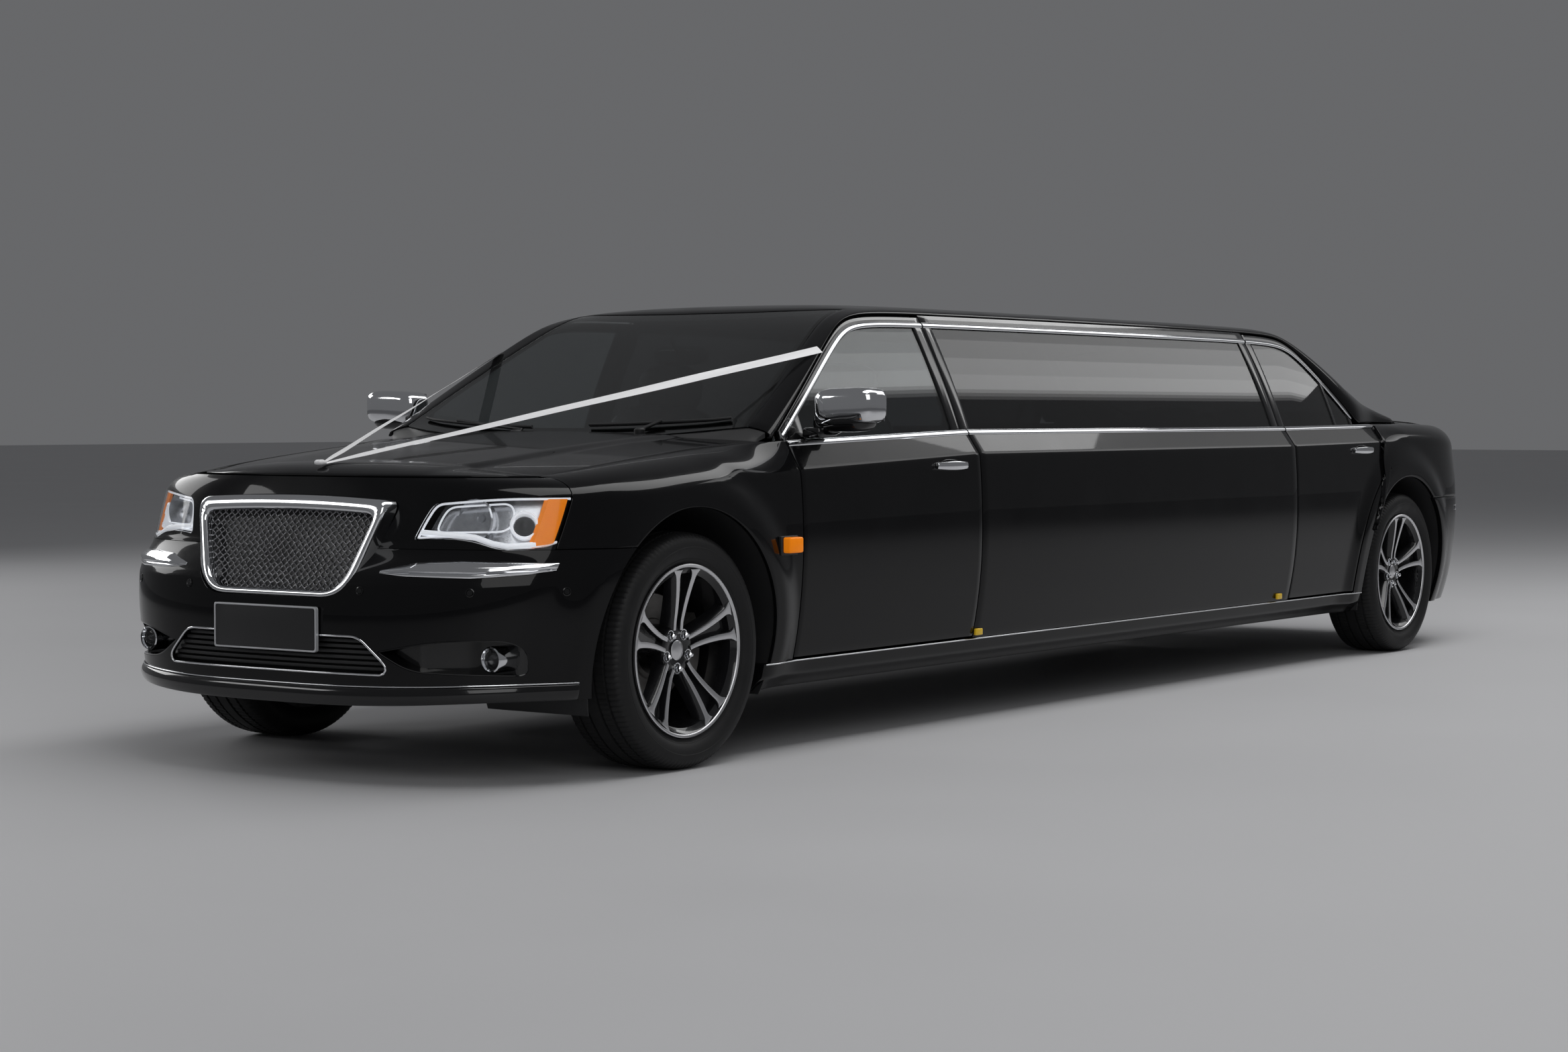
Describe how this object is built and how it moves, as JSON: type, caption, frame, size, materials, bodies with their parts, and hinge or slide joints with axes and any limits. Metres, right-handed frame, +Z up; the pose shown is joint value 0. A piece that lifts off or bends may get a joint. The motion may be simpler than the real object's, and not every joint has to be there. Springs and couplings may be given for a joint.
{
  "type": "stretch limousine",
  "caption": "Black stretch limousine with a chrome mesh grille, long tinted side windows, alloy wheels and white wedding ribbons over the hood.",
  "frame": {"origin": "on the floor under the middle of the car", "axes": "+X forward, +Y to the car's left, +Z up"},
  "size_m": [7.4298, 2.216, 1.4879],
  "materials": {
    "paint": "gloss",
    "chrome": "polished",
    "glass": "clear",
    "dark_glass": "tinted",
    "frame_black": "satin",
    "black_plastic": "matte",
    "reflector": "gloss",
    "red_lens": "gloss",
    "amber_lens": "gloss",
    "alloy": "satin",
    "steel": "satin",
    "iron": "matte",
    "tyre": "matte",
    "dash": "matte",
    "leather": "satin",
    "ribbon": "satin"
  },
  "bodies": {
    "body": {"chassis": "frame_black", "side_sills": "paint", "wings": "paint", "stretch_panels": "paint", "quarters": "paint", "roof": "paint", "windscreen": "glass", "rear_window": "dark_glass", "side_glass": "dark_glass", "front_bumper": "paint", "rear_bumper": "paint", "headlamps": "reflector", "headlamp_lenses": "glass", "grille_surround": "chrome", "grille_mesh": "black_plastic", "lower_grille": "black_plastic", "fog_pockets": "black_plastic", "fog_lamps": "reflector", "tail_lamps": "red_lens", "marker_lamps": "amber_lens", "bright_strips": "chrome", "engine": "iron", "front_arms": "iron", "rear_axle": "iron", "exhaust": "steel", "fuel_tank": "black_plastic", "dashboard": "dash", "front_seats": "leather", "lounge_seats": "leather", "ribbons": "ribbon"},
    "hood": {"hood": "paint"},
    "trunk_lid": {"trunk_lid": "paint"},
    "door_front_left": {"door_front_left": "paint", "glass_front_left": "glass", "trim_front_left": "chrome", "mirror_left": "chrome"},
    "wheel_front_left": {"wheel_front_left": "alloy", "tyre_front_left": "tyre"},
    "door_rear_left": {"door_rear_left": "paint", "glass_rear_left": "dark_glass", "trim_rear_left": "chrome"},
    "wheel_rear_left": {"wheel_rear_left": "alloy", "tyre_rear_left": "tyre"},
    "knuckle_left": {"knuckle_left": "iron"},
    "door_front_right": {"door_front_right": "paint", "glass_front_right": "glass", "trim_front_right": "chrome", "mirror_right": "chrome"},
    "wheel_front_right": {"wheel_front_right": "alloy", "tyre_front_right": "tyre"},
    "door_rear_right": {"door_rear_right": "paint", "glass_rear_right": "dark_glass", "trim_rear_right": "chrome"},
    "wheel_rear_right": {"wheel_rear_right": "alloy", "tyre_rear_right": "tyre"},
    "knuckle_right": {"knuckle_right": "iron"}
  },
  "joints": [
    {"name": "steer_left", "type": "hinge", "parent": "body", "child": "knuckle_left", "pos_m": [2.84, 0.705, 0.364], "axis": [0, 0, 1], "range_deg": [-34, 34]},
    {"name": "steer_right", "type": "hinge", "parent": "body", "child": "knuckle_right", "pos_m": [2.84, -0.705, 0.364], "axis": [0, 0, 1], "range_deg": [-34, 34]},
    {"name": "spin_front_left", "type": "hinge", "parent": "knuckle_left", "child": "wheel_front_left", "pos_m": [2.84, 0.805, 0.364], "axis": [0, 1, 0], "continuous": true},
    {"name": "spin_front_right", "type": "hinge", "parent": "knuckle_right", "child": "wheel_front_right", "pos_m": [2.84, -0.805, 0.364], "axis": [0, 1, 0], "continuous": true},
    {"name": "spin_rear_left", "type": "hinge", "parent": "body", "child": "wheel_rear_left", "pos_m": [-2.6, 0.805, 0.364], "axis": [0, 1, 0], "continuous": true},
    {"name": "spin_rear_right", "type": "hinge", "parent": "body", "child": "wheel_rear_right", "pos_m": [-2.6, -0.805, 0.364], "axis": [0, 1, 0], "continuous": true},
    {"name": "door_front_left_swing", "type": "hinge", "parent": "body", "child": "door_front_left", "pos_m": [2.19, 0.91, 0.668], "axis": [0, 0, -1], "range_deg": [0, 65]},
    {"name": "door_front_right_swing", "type": "hinge", "parent": "body", "child": "door_front_right", "pos_m": [2.19, -0.91, 0.668], "axis": [0, 0, 1], "range_deg": [0, 65]},
    {"name": "door_rear_left_swing", "type": "hinge", "parent": "body", "child": "door_rear_left", "pos_m": [-1.51, 0.91, 0.668], "axis": [0, 0, -1], "range_deg": [0, 65]},
    {"name": "door_rear_right_swing", "type": "hinge", "parent": "body", "child": "door_rear_right", "pos_m": [-1.51, -0.91, 0.668], "axis": [0, 0, 1], "range_deg": [0, 65]},
    {"name": "hood_lift", "type": "hinge", "parent": "body", "child": "hood", "pos_m": [2.312, 0, 0.98581], "axis": [0, -1, 0], "range_deg": [0, 50], "deforming": ["ribbons"]},
    {"name": "trunk_lift", "type": "hinge", "parent": "body", "child": "trunk_lid", "pos_m": [-2.87, 0, 1.03596], "axis": [0, 1, 0], "range_deg": [0, 65]}
  ],
  "couplings": [
    {"joint": "steer_right", "follows": "steer_left", "ratio": 1}
  ]
}
